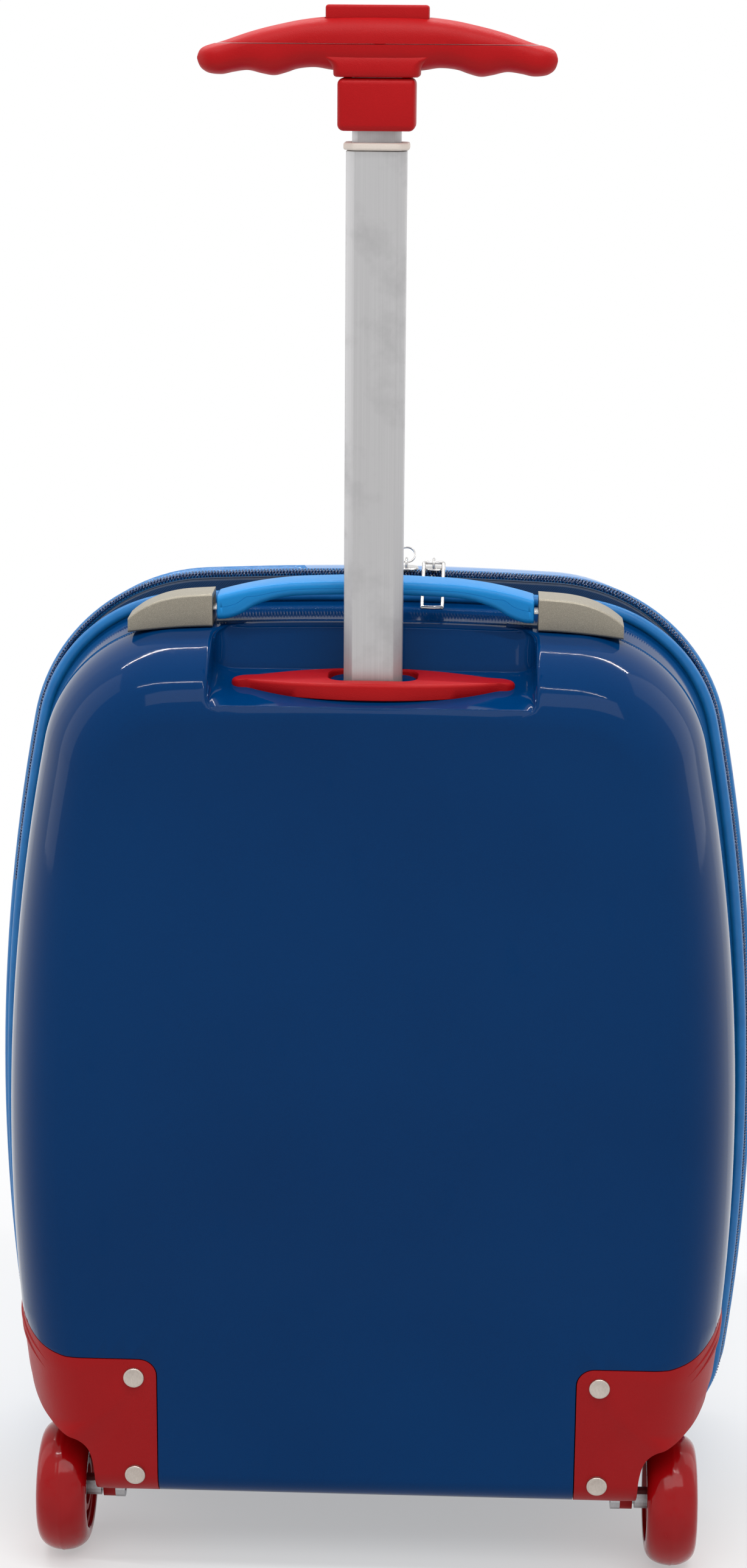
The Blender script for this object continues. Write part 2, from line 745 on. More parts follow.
def lock_pin(name, depth, bottom, pin_side, finish):
    """A pin whose tip is flush with its tube at rest, so that the tube slides freely."""
    z = bottom + BLOCK_HEIGHT / 2
    tip = depth / 2 - 0.1 * MM
    ends = ((0, pin_side * (tip - PIN_LENGTH), z), (0, pin_side * tip, z))
    pin = cylinder(name, *ends, PIN_RADIUS, finish, 16)
    return with_origin(pin, (0, 0, z))


def pull_pole():
    middle_size = (MIDDLE_WIDTH, MIDDLE_DEPTH, MIDDLE_CHAMFER, MIDDLE_WALL)
    inner_size = (*INNER_SIZE, TUBE_WALL)
    octagon_tube("pole_housing", *HOUSING_SIZE, TUBE_WALL, HOUSING_BOTTOM_Z, HOUSING_TOP_Z, STEEL)
    middle = octagon_tube("pole_middle_tube", *middle_size, MIDDLE_BOTTOM_Z, MIDDLE_TOP_Z, POLE_METAL)
    inner_top = NECK_TOP_Z + 3 * MM
    inner = octagon_tube("pole_inner_tube", *inner_size, INNER_BOTTOM_Z, inner_top, POLE_METAL)
    for tube, bottom, depth, word in (
        (middle, MIDDLE_BOTTOM_Z, MIDDLE_DEPTH, "middle"),
        (inner, INNER_BOTTOM_Z, INNER_SIZE[1], "inner"),
    ):
        z = bottom + BLOCK_HEIGHT / 2
        drill(tube, "pin_window_" + word, (0, 0, z), (0, depth, z), PIN_RADIUS + GAP)
        applied(tube)
        with_origin(tube, (0, 0, bottom))
    guide_block("middle_guide_block", *middle_size, MIDDLE_BOTTOM_Z, BLACK, 1)
    guide_block("inner_guide_block", *inner_size, INNER_BOTTOM_Z, BLACK, 1)
    lock_pin("middle_lock_pin", MIDDLE_DEPTH, MIDDLE_BOTTOM_Z, 1, STEEL)
    lock_pin("inner_lock_pin", INNER_SIZE[1], INNER_BOTTOM_Z, 1, STEEL)
    collar = octagon_prism(
        "pole_collar",
        MIDDLE_WIDTH + 2 * COLLAR_OVERHANG,
        MIDDLE_DEPTH + 2 * COLLAR_OVERHANG,
        MIDDLE_CHAMFER,
        MIDDLE_TOP_Z + GAP,
        MIDDLE_TOP_Z + COLLAR_HEIGHT,
        CREAM,
    )
    rounding = collar.modifiers.new("rounded", "BEVEL")
    rounding.width = 0.9 * MM
    rounding.segments = 2
    collar_bore = octagon_prism(
        "collar_bore",
        INNER_SIZE[0] + 2 * SLIDE_PLAY,
        INNER_SIZE[1] + 2 * SLIDE_PLAY,
        INNER_SIZE[2],
        MIDDLE_TOP_Z - 5 * MM,
        MIDDLE_TOP_Z + 15 * MM,
    )
    with_origin(applied(boolean(collar, as_cutter(collar_bore))), (0, 0, MIDDLE_TOP_Z))
    rod_bottom = INNER_BOTTOM_Z + BLOCK_HEIGHT + BUTTON_TRAVEL + GAP
    rod_top = BUTTON_TOP_Z - BUTTON_HEIGHT - GAP
    rod = cylinder("push_rod", (0, 0, rod_bottom), (0, 0, rod_top), ROD_RADIUS, STEEL, 10)
    with_origin(rod, (0, 0, rod_top))


def pole_seat():
    """The bracket that holds the foot of the fixed tube, and the cover over the tube inside."""
    half_width = HOUSING_SIZE[0] / 2
    half_depth = HOUSING_SIZE[1] / 2
    inside_back = BACK_Y + SHELL_WALL + GAP
    bracket_x = half_width + BRACKET_SIDE
    seat_y = inside_back + LINING_THICKNESS + GAP
    low = (-bracket_x, seat_y, HOUSING_BOTTOM_Z - BRACKET_FLOOR)
    high = (bracket_x, half_depth + BRACKET_FLOOR, HOUSING_BOTTOM_Z + BRACKET_HEIGHT)
    bracket = box("pole_foot_bracket", low, high, BLACK, bevel=1.2 * MM, segments=2)
    socket = octagon_prism(
        "foot_socket",
        HOUSING_SIZE[0] + 2 * GAP,
        HOUSING_SIZE[1] + 2 * GAP,
        HOUSING_SIZE[2],
        HOUSING_BOTTOM_Z - GAP,
        HOUSING_BOTTOM_Z + 40 * MM,
    )
    applied(boolean(bracket, as_cutter(socket)))
    out = half_width + COVER_MARGIN
    front = half_depth + COVER_MARGIN
    flange_y = seat_y
    wall = COVER_WALL
    profile = (
        (-out - COVER_FLANGE, flange_y),
        (-out - COVER_FLANGE, flange_y + wall),
        (-out - wall, flange_y + wall),
        (-out - wall, front + wall),
        (out + wall, front + wall),
        (out + wall, flange_y + wall),
        (out + COVER_FLANGE, flange_y + wall),
        (out + COVER_FLANGE, flange_y),
        (out, flange_y),
        (out, front),
        (-out, front),
        (-out, flange_y),
    )
    bottom = HOUSING_BOTTOM_Z + BRACKET_HEIGHT + GAP
    top = RECESS_FLOOR_Z - SHELL_WALL - COVER_TOP_ROOM
    loft("pole_cover", [[(x, y, z) for x, y in profile] for z in (bottom, top)], BLACK)


# T grip with its push button


def grip_ring(x, low, high, half_depth, exponent=0.72, count=20):
    ring_points = []
    for i in range(count):
        angle = 2 * math.pi * i / count
        c, s = math.cos(angle), math.sin(angle)
        y = half_depth * math.copysign(abs(c) ** exponent, c)
        z = (high - low) / 2 * math.copysign(abs(s) ** exponent, s) + (high + low) / 2
        ring_points.append((x, y, z))
    return ring_points


def grip_bar(name, finish):
    stations = [(-x, low, high) for x, low, high in reversed(GRIP_STATIONS[1:])]
    stations += GRIP_STATIONS
    rings = []
    for x, low, high in stations:
        taper = 1 - 0.22 * (abs(x) * MM / GRIP_HALF_LENGTH) ** 2
        end = abs(x) * MM / GRIP_HALF_LENGTH
        if end > 0.97:
            taper *= 0.72
        elif end > 0.92:
            taper *= 0.92
        under, top = GRIP_TOP_Z - low * MM, GRIP_TOP_Z - high * MM
        rings.append(grip_ring(x * MM, under, top, GRIP_HALF_DEPTH * taper))
    return loft(name, rings, finish)


def half_above(obj, z, keep_top):
    """Keeps the part of a closed mesh on one side of a level plane, and closes the cut."""
    bm = bmesh.new()
    bm.from_mesh(obj.data)
    cut = bmesh.ops.bisect_plane(
        bm,
        geom=bm.verts[:] + bm.edges[:] + bm.faces[:],
        plane_co=(0, 0, z),
        plane_no=(0, 0, 1),
        clear_outer=not keep_top,
        clear_inner=keep_top,
    )
    edges = [item for item in cut["geom_cut"] if isinstance(item, bmesh.types.BMEdge)]
    bmesh.ops.edgeloop_fill(bm, edges=edges)
    bmesh.ops.recalc_face_normals(bm, faces=bm.faces)
    bm.to_mesh(obj.data)
    bm.free()
    return obj


def t_grip():
    top = half_above(grip_bar("grip_top", GRIP_RED), GRIP_SEAM_Z + GAP / 2, True)
    bottom = half_above(grip_bar("grip_bottom", GRIP_RED), GRIP_SEAM_Z - GAP / 2, False)
    boss = box(
        "grip_boss",
        (-BOSS_WIDTH / 2, -BOSS_DEPTH / 2, NECK_TOP_Z + GAP),
        (BOSS_WIDTH / 2, BOSS_DEPTH / 2, GRIP_SEAM_Z - 3 * MM),
        bevel=3 * MM,
        segments=2,
    )
    boolean(bottom, as_cutter(boss), "UNION")
    button_clear = (BUTTON_LENGTH + 2 * GAP, BUTTON_DEPTH + 2 * GAP)
    well_low = GRIP_SEAM_Z - 1.0 * MM
    well = box(
        "button_well",
        (-button_clear[0] / 2, -button_clear[1] / 2, well_low),
        (button_clear[0] / 2, button_clear[1] / 2, GRIP_TOP_Z + 20 * MM),
    )
    tube_bore = octagon_prism(
        "grip_tube_bore",
        INNER_SIZE[0] + 2 * GAP,
        INNER_SIZE[1] + 2 * GAP,
        INNER_SIZE[2],
        NECK_BOTTOM_Z - 5 * MM,
        NECK_TOP_Z + 3 * MM + GAP,
    )
    spring_well = (SPRING_RADIUS + SPRING_WIRE + GAP, NECK_TOP_Z + 2 * MM)
    for half in (top, bottom):
        boolean(half, as_cutter(well))
    boolean(bottom, as_cutter(tube_bore))
    drill(bottom, "spring_well", (0, 0, spring_well[1]), (0, 0, GRIP_TOP_Z), spring_well[0])
    for half in (top, bottom):
        smooth(with_origin(applied(half), (0, 0, GRIP_SEAM_Z)), 50)
    neck = box(
        "grip_neck",
        (-NECK_WIDTH / 2, -NECK_DEPTH / 2, NECK_BOTTOM_Z),
        (NECK_WIDTH / 2, NECK_DEPTH / 2, NECK_TOP_Z),
        GRIP_RED,
        bevel=2.5 * MM,
        segments=3,
    )
    smooth(with_origin(applied(boolean(neck, as_cutter(tube_bore))), (0, 0, NECK_TOP_Z)))
    button = box(
        "push_button",
        (-BUTTON_LENGTH / 2, -BUTTON_DEPTH / 2, BUTTON_TOP_Z - BUTTON_HEIGHT),
        (BUTTON_LENGTH / 2, BUTTON_DEPTH / 2, BUTTON_TOP_Z),
        GRIP_RED,
        bevel=0.8 * MM,
        segments=2,
    )
    with_origin(applied(button), (0, 0, BUTTON_TOP_Z))


def button_spring():
    """A coil round the push rod, between the grip's floor and the button."""
    low = NECK_TOP_Z + 3 * MM + 2 * GAP + SPRING_WIRE
    high = BUTTON_TOP_Z - BUTTON_HEIGHT - GAP - SPRING_WIRE
    per_turn = 8
    points = []
    for i in range(SPRING_TURNS * per_turn + 1):
        angle = 2 * math.pi * i / per_turn
        z = mix(low, high, i / (SPRING_TURNS * per_turn))
        points.append((SPRING_RADIUS * math.cos(angle), SPRING_RADIUS * math.sin(angle), z))
    tube_along("button_spring", points, SPRING_WIRE, STEEL)


# Bezel round the pole


def bezel():
    """A lens-shaped plate with a crowned top and a slot for the pole."""
    half, deep = BEZEL_HALF_LENGTH, BEZEL_HALF_DEPTH
    radius = (half**2 + deep**2) / (2 * deep)
    reach = math.asin(half / radius)
    steps = 16
    base_z = RECESS_FLOOR_Z + GAP
    lens = []
    for sign in (1, -1):
        for i in range(steps):
            angle = sign * reach * (1 - 2 * i / steps)
            y = -sign * (radius * math.cos(angle) - radius + deep)
            lens.append((radius * math.sin(angle), y * BEZEL_BACK_DEPTH / deep if y > 0 else y))
    crown = (half**2 + (BEZEL_HEIGHT - BEZEL_TIP_HEIGHT) ** 2) / (2 * (BEZEL_HEIGHT - BEZEL_TIP_HEIGHT))

    def crown_z(x):
        return base_z + BEZEL_HEIGHT - crown + math.sqrt(crown**2 - x**2)

    levels = []
    for inset, drop in ((0, 1.6 * MM), (0.5 * MM, 0.5 * MM), (1.7 * MM, 0.0)):
        scale_x = 1 - inset / half
        scale_y = 1 - inset / deep
        levels.append([(x * scale_x, y * scale_y, crown_z(x) - drop) for x, y in lens])
    plate = loft("bezel", [[(x, y, base_z) for x, y in lens]] + levels, GRIP_RED)
    a = BEZEL_HOLE_LENGTH / 2
    b = BEZEL_HOLE_DEPTH / 2
    oval = []
    for i in range(24):
        angle = 2 * math.pi * i / 24
        c, s = math.cos(angle), math.sin(angle)
        oval.append((a * math.copysign(abs(c) ** 0.8, c), b * math.copysign(abs(s) ** 0.8, s)))
    slot_z = (base_z - 5 * MM, base_z + 20 * MM)
    slot = loft("bezel_slot", [[(x, y, z) for x, y in oval] for z in slot_z])
    smooth(applied(boolean(plate, as_cutter(slot))), 30)


# Carry handle, its metal band and its end caps


def strip_rings(stations, y_low, y_high, rounding):
    rings = []
    for x, low, high in stations:
        r = min(rounding, (high - low) / 3)
        corners = (
            (y_low + r, low),
            (y_high - r, low),
            (y_high, low + r),
            (y_high, high - r),
            (y_high - r, high),
            (y_low + r, high),
            (y_low, high - r),
            (y_low, low + r),
        )
        rings.append([(x, y, z) for y, z in corners])
    return rings


def cap_rings(side, grow=0.0):
    """Sections of an end cap from its inner face to its pointed end."""
    length = CAP_OUTER_X - CAP_INNER_X
    stations = []
    for share, drop in ((0, 0.0), (0.35, 1.0), (0.6, 3.0), (0.8, 6.2), (0.93, 9.4), (1.0, 11.6)):
        base = CAP_BASE_Z - 3.2 * MM * share**1.6
        stations.append((side * (CAP_INNER_X + length * share), base, CAP_TOP_Z - drop * MM))
    return strip_rings(stations, HANDLE_BACK_Y, HANDLE_BACK_Y + HANDLE_DEPTH, 1.8 * MM)


def carry_handle():
    stations = [(-x, low, high) for x, low, high in reversed(HANDLE_STATIONS[1:])]
    stations += HANDLE_STATIONS
    stations = [(x * MM, TOP_Z + low * MM, TOP_Z + high * MM) for x, low, high in stations]
    rings = strip_rings(stations, HANDLE_BACK_Y, HANDLE_BACK_Y + HANDLE_DEPTH, 2.0 * MM)
    grip = loft("carry_handle", rings, HANDLE_BLUE)
    middle_y = HANDLE_BACK_Y + HANDLE_DEPTH / 2
    bore_y = BAND_DEPTH / 2 + GAP
    bore_z = BAND_THICKNESS / 2 + GAP
    for side in (-1, 1):
        bore_x = [side * x for x in BAND_BORE_X]
        bore = box(
            f"band_bore_{side}",
            (min(bore_x), middle_y - bore_y, BAND_Z - bore_z),
            (max(bore_x), middle_y + bore_y, BAND_Z + bore_z),
        )
        boolean(grip, as_cutter(bore))
    smooth(with_origin(applied(grip), (0, middle_y, BAND_Z)), 40)
    for side, word in ((-1, "left"), (1, "right")):
        inner, outer = side * BAND_INNER_X, side * BAND_HALF_LENGTH
        tongue = box(
            "handle_tongue_" + word,
            (min(inner, outer), middle_y - BAND_DEPTH / 2, BAND_Z - BAND_THICKNESS / 2),
            (max(inner, outer), middle_y + BAND_DEPTH / 2, BAND_Z + BAND_THICKNESS / 2),
            BRIGHT_METAL,
        )
        with_origin(tongue, (side * CAP_INNER_X, middle_y, BAND_Z))
        cap = loft("handle_cap_" + word, cap_rings(side), CAP_PEWTER)
        low_x, high_x = side * (CAP_INNER_X - 5 * MM), side * (BAND_HALF_LENGTH + 2.5 * MM)
        slot_low = BAND_Z - BAND_THICKNESS / 2 - 2 * GAP
        slot_high = BAND_Z + BAND_THICKNESS / 2 + HANDLE_LIFT + 2 * GAP
        slot = box(
            "cap_slot_" + word,
            (min(low_x, high_x), middle_y - BAND_DEPTH / 2 - 2 * GAP, slot_low),
            (max(low_x, high_x), middle_y + BAND_DEPTH / 2 + 2 * GAP, slot_high),
        )
        boolean(cap, as_cutter(slot))
        # The cap stands on the shell's sloping top
        body = loft("cap_bed_" + word, rear_rings(-GAP))
        smooth(applied(boolean(cap, as_cutter(body))), 30)


# Wheel housings, rivets, wheels and axles


def circle_at(x, z, radius, count):
    places = []
    for i in range(count):
        angle = 2 * math.pi * (i + 0.5) / count
        places.append((x, radius * math.cos(angle), z + radius * math.sin(angle)))
    return places


def lug_section(side, word):
    """The round foot of the leg, which carries the axle: a half disc with a shank up into the leg."""
    shape = [(-LUG_RADIUS, WHEEL_RADIUS + 16 * MM)]
    for i in range(13):
        angle = math.pi + math.pi * i / 12
        shape.append((LUG_RADIUS * math.cos(angle), WHEEL_RADIUS + LUG_RADIUS * math.sin(angle)))
    shape.append((LUG_RADIUS, WHEEL_RADIUS + 16 * MM))
    ends = (side * (LEG_INNER_X + 0.5 * MM), side * (LEG_OUTER_X - 0.5 * MM))
    return loft("lug_" + word, [[(x, y, z) for y, z in shape] for x in ends])


def wheel_housing(side, word):
    """The red corner piece: a thin plate on the back, a leg for the axle and a fender."""
    name = "wheel_housing_" + word
    body = loft(name, rear_rings(), GRIP_RED)
    block = prism("housing_block_" + word, housing_outline(side, 0.0), BACK_Y - 40 * MM, WELL_FRONT_Y)
    boolean(body, as_cutter(block), "INTERSECT")
    boolean(body, core("behind_plate_" + word, side, PLATE_THICKNESS, LEG_INNER_X))
    below = [(side * (WHEEL_X + x * MM), z * MM) for x, z in FENDER_EDGE]
    below.append((below[-1][0], -20 * MM))
    below.append((below[0][0], -20 * MM))
    under_fender = prism("under_fender_" + word, below, BACK_Y - 50 * MM, WELL_FRONT_Y + 20 * MM)
    boolean(body, as_cutter(under_fender))
    hollow_x = [side * (LEG_OUTER_X + x) for x in FENDER_HOLLOW_X]
    hollow = box(
        "fender_hollow_" + word,
        (min(hollow_x), BACK_Y + FENDER_BACK_WALL, FENDER_HOLLOW_Z[0]),
        (max(hollow_x), WELL_FRONT_Y + 10 * MM, FENDER_HOLLOW_Z[1]),
    )
    boolean(body, as_cutter(hollow))
    axle_z = WHEEL_RADIUS
    lug = lug_section(side, word)
    boolean(body, as_cutter(lug), "UNION")
    applied(body)
    pocket_x = LEG_INNER_X + NUT_LENGTH + 2 * GAP
    bore = []
    for x, radius in (
        (LEG_INNER_X - 5 * MM, NUT_RADIUS + GAP),
        (pocket_x, NUT_RADIUS + GAP),
        (pocket_x + 0.1 * MM, AXLE_RADIUS + BORE_PLAY),
        (LEG_OUTER_X + 15 * MM, AXLE_RADIUS + BORE_PLAY),
    ):
        bore.append(circle_at(side * x, axle_z, radius, 32))
    boolean(body, as_cutter(loft("axle_bore_" + word, bore)))
    applied(body)
    rivet_cuts(body, side, word, RIVET_RADIUS + GAP, -10 * MM, 14 * MM)
    rivet_cuts(body, side, word, RIVET_HEAD_RADIUS + GAP, -9 * MM, RIVET_SEAT)
    smooth(applied(body), 30)


def rivets(side, word):
    """Domed heads, shanks through plate and shell, and formed tails inside."""
    head = RIVET_SEAT - RIVET_PLAY
    tail = PLATE_THICKNESS + GAP + SHELL_WALL - RIVET_SEAT + RIVET_PLAY
    profile = [
        (0.0, tail + RIVET_TAIL_HEIGHT),
        (RIVET_TAIL_RADIUS, tail + RIVET_TAIL_HEIGHT),
        (RIVET_TAIL_RADIUS, tail),
        (RIVET_RADIUS, tail),
        (RIVET_RADIUS, head),
        (RIVET_HEAD_RADIUS, head),
        (RIVET_HEAD_RADIUS * 0.94, head - RIVET_HEAD_HEIGHT * 0.7),
        (RIVET_HEAD_RADIUS * 0.7, head - RIVET_HEAD_HEIGHT),
        (0.0, head - RIVET_HEAD_HEIGHT),
    ]
    for z, place in zip(RIVET_ZS, ("upper", "lower")):
        made = applied(turned(f"rivet_{word}_{place}", profile, BRIGHT_METAL, 16))
        y, lean = back_surface(z)
        made.data.transform(Matrix.Rotation(lean - math.pi / 2, 4, "X"))
        made.location = (side * RIVET_X, y, z)
        smooth(made)


def ring_solid(name, profile, side, x, finish, steps):
    """A turned piece on the wheel's axle, its profile's height running outward."""
    made = applied(turned(name, profile, finish, steps))
    made.data.transform(Matrix.Rotation(side * math.pi / 2, 4, "Y"))
    made.location = (side * x, 0, WHEEL_RADIUS)
    return smooth(made, 40)


def wheel(side, word):
    half = WHEEL_WIDTH / 2
    hub_half = HUB_WIDTH / 2
    tread = []
    for i in range(9):
        angle = math.pi / 2 - math.pi * i / 8
        bulge = 9.0 * MM
        tread.append((WHEEL_RADIUS - bulge + bulge * math.cos(angle), half * math.sin(angle)))
    tyre_profile = [(HUB_RADIUS + GAP, half * 0.8)] + tread + [(HUB_RADIUS + GAP, -half * 0.8)]
    ring_solid("tyre_" + word, tyre_profile, side, WHEEL_X, WHEEL_RED, 36)
    web = 3.5 * MM
    hub_profile = [
        (BEARING_RADIUS + GAP, hub_half),
        (BEARING_RADIUS + 2.2 * MM, hub_half),
        (BEARING_RADIUS + 2.6 * MM, web),
        (HUB_RADIUS - 1.8 * MM, web),
        (HUB_RADIUS - 1.4 * MM, hub_half * 0.85),
        (HUB_RADIUS, hub_half * 0.85),
        (HUB_RADIUS, -hub_half * 0.85),
        (HUB_RADIUS - 1.4 * MM, -hub_half * 0.85),
        (HUB_RADIUS - 1.8 * MM, -web),
        (BEARING_RADIUS + 2.6 * MM, -web),
        (BEARING_RADIUS + 2.2 * MM, -hub_half),
        (BEARING_RADIUS + GAP, -hub_half),
    ]
    ring_solid("hub_" + word, hub_profile, side, WHEEL_X, WHEEL_RED, 24)
    bearing_half = BEARING_WIDTH / 2
    bearing_profile = [
        (AXLE_RADIUS + BORE_PLAY, bearing_half),
        (BEARING_RADIUS, bearing_half),
        (BEARING_RADIUS, -bearing_half),
        (AXLE_RADIUS + BORE_PLAY, -bearing_half),
    ]
    ring_solid("bearing_" + word, bearing_profile, side, WHEEL_X, STEEL, 24)
    spacer_start = LEG_OUTER_X + 2 * GAP
    spacer_end = WHEEL_X - bearing_half - GAP
    spacer_half = (spacer_end - spacer_start) / 2
    spacer_profile = [
        (AXLE_RADIUS + BORE_PLAY, spacer_half),
        (SPACER_RADIUS, spacer_half),
        (SPACER_RADIUS, -spacer_half),
        (AXLE_RADIUS + BORE_PLAY, -spacer_half),
    ]
    ring_solid("axle_spacer_" + word, spacer_profile, side, (spacer_start + spacer_end) / 2, STEEL, 16)
    axle_start = LEG_INNER_X + 1 * MM
    axle_shoulder = WHEEL_X + bearing_half + GAP
    axle_end = axle_shoulder + AXLE_HEAD_LENGTH
    axle_profile = [
        (0.0, axle_end),
        (AXLE_HEAD_RADIUS * 0.8, axle_end),
        (AXLE_HEAD_RADIUS, axle_end - 1.0 * MM),
        (AXLE_HEAD_RADIUS, axle_shoulder),
        (AXLE_RADIUS, axle_shoulder),
        (AXLE_RADIUS, axle_start),
        (0.0, axle_start),
    ]
    ring_solid("axle_" + word, axle_profile, side, 0.0, STEEL, 16)
    nut_profile = [
        (AXLE_RADIUS + BORE_PLAY, NUT_LENGTH / 2),
        (NUT_RADIUS, NUT_LENGTH / 2),
        (NUT_RADIUS, -NUT_LENGTH / 2),
        (AXLE_RADIUS + BORE_PLAY, -NUT_LENGTH / 2),
    ]
    ring_solid("axle_nut_" + word, nut_profile, side, LEG_INNER_X + GAP + NUT_LENGTH / 2, STEEL, 12)


# Lid, welts, zip and hinge gusset


def offset_section(section, half):
    """A section of (depth, height) points moved sideways by half, with mitred corners."""
    moved = []
    for k, (y, h) in enumerate(section):
        before = section[max(k - 1, 0)]
        after = section[min(k + 1, len(section) - 1)]
        normals = []
        for (ay, ah), (by, bh) in ((before, (y, h)), ((y, h), after)):
            length = math.hypot(by - ay, bh - ah)
            if length > 1e-9:
                normals.append((-(bh - ah) / length, (by - ay) / length))
        ny = sum(n[0] for n in normals) / len(normals)
        nh = sum(n[1] for n in normals) / len(normals)
        stretch = 1 / max(ny * ny + nh * nh, 0.3)
        moved.append((y + ny * half * stretch, h + nh * half * stretch))
    return moved


def band(name, stations, finish, thickness=TAPE_THICKNESS, span=None):
    """A strip that follows the outlines. Each station is (depth, outline, inset)."""
    columns = []
    indices = range(*span) if span else range(len(SEAM_OUTLINE))
    for i in indices:
        x0, z0, nx, nz = SEAM_OUTLINE[i]
        section = []
        places = []
        for y, points, inset in stations:
            x, z, px, pz = points[i]
            x, z = x - px * inset, z - pz * inset
            places.append((x, y, z, px, pz))
            section.append((y, (x - x0) * nx + (z - z0) * nz))
        column = []
        for half in (thickness / 2, -thickness / 2):
            moved = offset_section(section, half)
            side = []
            for (x, y, z, px, pz), (_, h), (to_y, to_h) in zip(places, section, moved):
                side.append((x + px * (to_h - h), to_y, z + pz * (to_h - h)))
            column += side if half > 0 else side[::-1]
        columns.append(column)
    if span:
        return smooth(loft(name, columns, finish), 50)
    bm = bmesh.new()
    rows = [[bm.verts.new(point) for point in column] for column in columns]
    for i, row in enumerate(rows):
        following = rows[(i + 1) % len(rows)]
        for k in range(len(row)):
            j = (k + 1) % len(row)
            bm.faces.new((row[k], row[j], following[j], following[k]))
    return smooth(add_bmesh(name, bm, finish), 50)


def side_index(z, points):
    """Index of the left side's outline point nearest a height."""
    choices = [i for i, (x, pz, nx, nz) in enumerate(points) if nx < -0.9]
    return min(choices, key=lambda i: abs(points[i][1] - z))


TAPE_INSET = SHELL_INSET + SHELL_WALL + GAP + TAPE_THICKNESS / 2
TAPE_SEWN_INSET = TAPE_INSET + 1.4 * MM
WELT_INSET = 2.2 * MM
REAR_EDGE = SEAM_Y - SEAM_SPLIT / 2
LID_EDGE = SEAM_Y + SEAM_SPLIT / 2
REAR_WELT_Y = REAR_RIM_Y + GAP + WELT_RADIUS
LID_WELT_Y = LID_RIM_Y - GAP - WELT_RADIUS
TAPE_RISE = WELT_RADIUS + TAPE_THICKNESS / 2 + 1.3 * GAP
REAR_TAPE = (
    (REAR_RIM_Y - 8 * MM, REAR_OUTLINE, TAPE_SEWN_INSET),
    (REAR_WELT_Y, REAR_OUTLINE, TAPE_INSET),
    (REAR_WELT_Y + TAPE_RISE, REAR_OUTLINE, WELT_INSET),
    (REAR_WELT_Y + TAPE_RISE, SEAM_OUTLINE, 0.0),
    (REAR_EDGE, SEAM_OUTLINE, 0.0),
)
LID_TAPE = (
    (LID_EDGE, SEAM_OUTLINE, 0.0),
    (LID_WELT_Y - TAPE_RISE, SEAM_OUTLINE, 0.0),
    (LID_WELT_Y - TAPE_RISE, LID_OUTLINE, WELT_INSET),
    (LID_WELT_Y, LID_OUTLINE, TAPE_INSET),
    (LID_RIM_Y + 8 * MM, LID_OUTLINE, TAPE_SEWN_INSET),
)


def seam_path(inset, y, start, end):
    count = len(SEAM_OUTLINE)
    return ring([SEAM_OUTLINE[i % count] for i in range(start, end)], inset, y)


def zip_and_welts():
    pivot = (LID_AXIS_X, SEAM_Y, 0)
    count = len(SEAM_OUTLINE)
    high = side_index(GUSSET_HIGH_Z, SEAM_OUTLINE)
    low = side_index(GUSSET_LOW_Z, SEAM_OUTLINE)
    band("rear_zip_tape", REAR_TAPE, TAPE_BLUE)
    with_origin(band("lid_zip_tape", LID_TAPE, TAPE_BLUE), pivot)
    rear_path = ring(REAR_OUTLINE, 0.0, REAR_WELT_Y)
    lid_path = ring(LID_OUTLINE, 0.0, LID_WELT_Y)
    tube_along("rear_welt", rear_path, WELT_RADIUS, WELT_BLUE, True, 2)
    lid_welt = tube_along("lid_welt", lid_path, WELT_RADIUS, WELT_BLUE, True, 2)
    with_origin(applied(lid_welt), pivot)
    coil_inset = -TAPE_THICKNESS / 2 - GAP - COIL_RADIUS
    path = seam_path(coil_inset, REAR_EDGE - COIL_RADIUS, high - count + 1, low)
    tube_along("rear_zip_coil", path, COIL_RADIUS, TAPE_BLUE, False, 1)
    path = seam_path(coil_inset, LID_EDGE + COIL_RADIUS, high - count + 1, low)
    lid_coil = tube_along("lid_zip_coil", path, COIL_RADIUS, TAPE_BLUE, False, 1)
    with_origin(applied(lid_coil), pivot)
    gusset_inset = TAPE_THICKNESS + GAP
    rear_gusset = (
        (REAR_EDGE - 2.6 * MM, SEAM_OUTLINE, gusset_inset),
        (REAR_EDGE, SEAM_OUTLINE, gusset_inset),
    )
    lid_gusset = (
        (LID_EDGE, SEAM_OUTLINE, gusset_inset),
        (LID_EDGE + 2.6 * MM, SEAM_OUTLINE, gusset_inset),
    )
    band("gusset_rear", rear_gusset, TAPE_BLUE, span=(low + 1, high))
    with_origin(band("gusset_lid", lid_gusset, TAPE_BLUE, span=(low + 1, high)), pivot)


def lid():
    shell = loft("lid_shell", lid_rings(), LID_BLUE)
    cavity = loft("lid_cavity", lid_rings(SHELL_WALL, reach=6 * MM))
    boolean(shell, as_cutter(cavity))
    smooth(with_origin(applied(shell), (LID_AXIS_X, SEAM_Y, 0)))


def seam_height(x):
    """Height of the middle of the zip's tapes at a place along the top."""
    return SEAM_TOP_Z - TOP_RADIUS + math.sqrt(TOP_RADIUS**2 - x**2)


